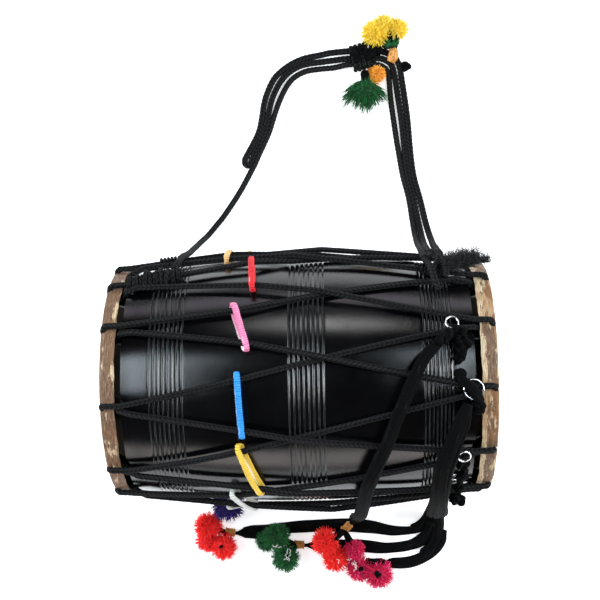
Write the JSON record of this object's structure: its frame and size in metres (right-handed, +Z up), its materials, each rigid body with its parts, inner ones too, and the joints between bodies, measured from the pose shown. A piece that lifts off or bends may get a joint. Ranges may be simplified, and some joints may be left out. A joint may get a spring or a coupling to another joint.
{
  "type": "dhol",
  "caption": "Rope-laced barrel drum with a skin head on each end, sliding tuning rings, a rope shoulder strap and pompom tassels.",
  "frame": {"origin": "under the middle of the drum as it lies on its side, on the floor", "axes": "+X along the drum towards the end with the steel rings, +Y towards the strap, +Z up"},
  "size_m": [0.5678, 0.984, 0.4139],
  "materials": {
    "black_lacquer": "gloss lacquer",
    "rawhide": "mottled goatskin",
    "hoop_iron": "dull",
    "black_cotton": "matte",
    "ring_thread_cream": "wound thread",
    "ring_thread_red": "wound thread",
    "ring_thread_pink": "wound thread",
    "ring_thread_blue": "wound thread",
    "ring_thread_yellow": "wound thread",
    "ring_thread_white": "wound thread",
    "nickel_ring": "polished",
    "gold_thread": "metallic thread",
    "yarn_red": "cut yarn",
    "yarn_green": "cut yarn",
    "yarn_magenta": "cut yarn",
    "yarn_scarlet": "cut yarn",
    "yarn_yellow": "cut yarn",
    "yarn_orange": "cut yarn",
    "yarn_blue": "cut yarn"
  },
  "bodies": {
    "drum": {"barrel_shell": "black_lacquer", "left_skin": "rawhide", "right_skin": "rawhide", "left_hoop": "hoop_iron", "right_hoop": "hoop_iron", "lacing_rope_one": "black_cotton", "lacing_rope_two": "black_cotton", "strap_left_hitch": "black_cotton", "strap_right_hitch": "black_cotton", "strap_rope": "black_cotton", "strap_doubled_rope": "black_cotton", "strap_top_knot": "black_cotton", "strap_frayed_tail": "black_cotton", "tassel_cord_one": "black_cotton", "ring_knot_a": "black_cotton", "steel_ring_a": "nickel_ring", "tassel_bundle": "black_cotton", "steel_ring_b": "nickel_ring", "steel_ring_c": "nickel_ring", "ring_knot_c": "black_cotton", "steel_ring_d": "nickel_ring", "ring_knot_d": "black_cotton", "tassel_join_knot": "black_cotton", "tassel_cord_two": "black_cotton", "tassel_cord_three": "black_cotton", "tassel_cord_four": "black_cotton", "gold_binding_one": "gold_thread", "gold_binding_two": "gold_thread", "gold_binding_three": "gold_thread", "pompom_red_1": "yarn_red", "pompom_red_2": "yarn_red", "pompom_red_3": "yarn_red", "pompom_green_1": "yarn_green", "pompom_green_2": "yarn_green", "pompom_green_3": "yarn_green", "pompom_magenta_1": "yarn_magenta", "pompom_magenta_2": "yarn_magenta", "pompom_magenta_3": "yarn_magenta", "pompom_scarlet_1": "yarn_scarlet", "pompom_scarlet_2": "yarn_scarlet", "pompom_yellow_1": "yarn_yellow", "pompom_yellow_2": "yarn_yellow", "pompom_yellow_3": "yarn_yellow", "pompom_orange": "yarn_orange", "pompom_green_top": "yarn_green", "rope_end_knob": "black_cotton", "tassel_cord_five": "black_cotton", "pompom_blue": "yarn_blue"},
    "tuning_ring_cream": {"tuning_ring_cream": "ring_thread_cream"},
    "tuning_ring_red": {"tuning_ring_red": "ring_thread_red"},
    "tuning_ring_pink": {"tuning_ring_pink": "ring_thread_pink"},
    "tuning_ring_blue": {"tuning_ring_blue": "ring_thread_blue"},
    "tuning_ring_yellow": {"tuning_ring_yellow": "ring_thread_yellow"},
    "tuning_ring_white": {"tuning_ring_white": "ring_thread_white"},
    "tuning_ring_white_low": {"tuning_ring_white_low": "ring_thread_white"},
    "tuning_ring_cream_rear": {"tuning_ring_cream_rear": "ring_thread_cream"},
    "tuning_ring_red_rear": {"tuning_ring_red_rear": "ring_thread_red"},
    "tuning_ring_pink_rear": {"tuning_ring_pink_rear": "ring_thread_pink"},
    "tuning_ring_blue_rear": {"tuning_ring_blue_rear": "ring_thread_blue"},
    "tuning_ring_yellow_rear": {"tuning_ring_yellow_rear": "ring_thread_yellow"}
  },
  "joints": [
    {"name": "tuning_ring_cream_slide", "type": "slide", "parent": "drum", "child": "tuning_ring_cream", "axis": [-0.9951, -0.0954, -0.0247], "range_m": [0, 0.06]},
    {"name": "tuning_ring_red_slide", "type": "slide", "parent": "drum", "child": "tuning_ring_red", "axis": [-0.9951, -0.0772, -0.0612], "range_m": [0, 0.14]},
    {"name": "tuning_ring_pink_slide", "type": "slide", "parent": "drum", "child": "tuning_ring_pink", "axis": [-0.9951, -0.0369, -0.0913], "range_m": [0, 0.128]},
    {"name": "tuning_ring_blue_slide", "type": "slide", "parent": "drum", "child": "tuning_ring_blue", "axis": [-0.9951, 0.0188, -0.0967], "range_m": [0, 0.126]},
    {"name": "tuning_ring_yellow_slide", "type": "slide", "parent": "drum", "child": "tuning_ring_yellow", "axis": [-0.9951, 0.066, -0.0731], "range_m": [0, 0.134]},
    {"name": "tuning_ring_white_slide", "type": "slide", "parent": "drum", "child": "tuning_ring_white", "axis": [-0.9951, 0.0908, -0.0382], "range_m": [0, 0.12]},
    {"name": "tuning_ring_white_low_slide", "type": "slide", "parent": "drum", "child": "tuning_ring_white_low", "axis": [-0.9951, 0.0973, 0.015], "range_m": [0, 0.106]},
    {"name": "tuning_ring_cream_rear_slide", "type": "slide", "parent": "drum", "child": "tuning_ring_cream_rear", "axis": [-0.9951, 0.0727, 0.0665], "range_m": [0, 0.126]},
    {"name": "tuning_ring_red_rear_slide", "type": "slide", "parent": "drum", "child": "tuning_ring_red_rear", "axis": [-0.9951, 0.027, 0.0947], "range_m": [0, 0.126]},
    {"name": "tuning_ring_pink_rear_slide", "type": "slide", "parent": "drum", "child": "tuning_ring_pink_rear", "axis": [-0.9951, -0.0246, 0.0954], "range_m": [0, 0.126]},
    {"name": "tuning_ring_blue_rear_slide", "type": "slide", "parent": "drum", "child": "tuning_ring_blue_rear", "axis": [-0.9951, -0.0699, 0.0694], "range_m": [0, 0.126]},
    {"name": "tuning_ring_yellow_rear_slide", "type": "slide", "parent": "drum", "child": "tuning_ring_yellow_rear", "axis": [-0.9951, -0.095, 0.0258], "range_m": [0, 0.126]}
  ]
}
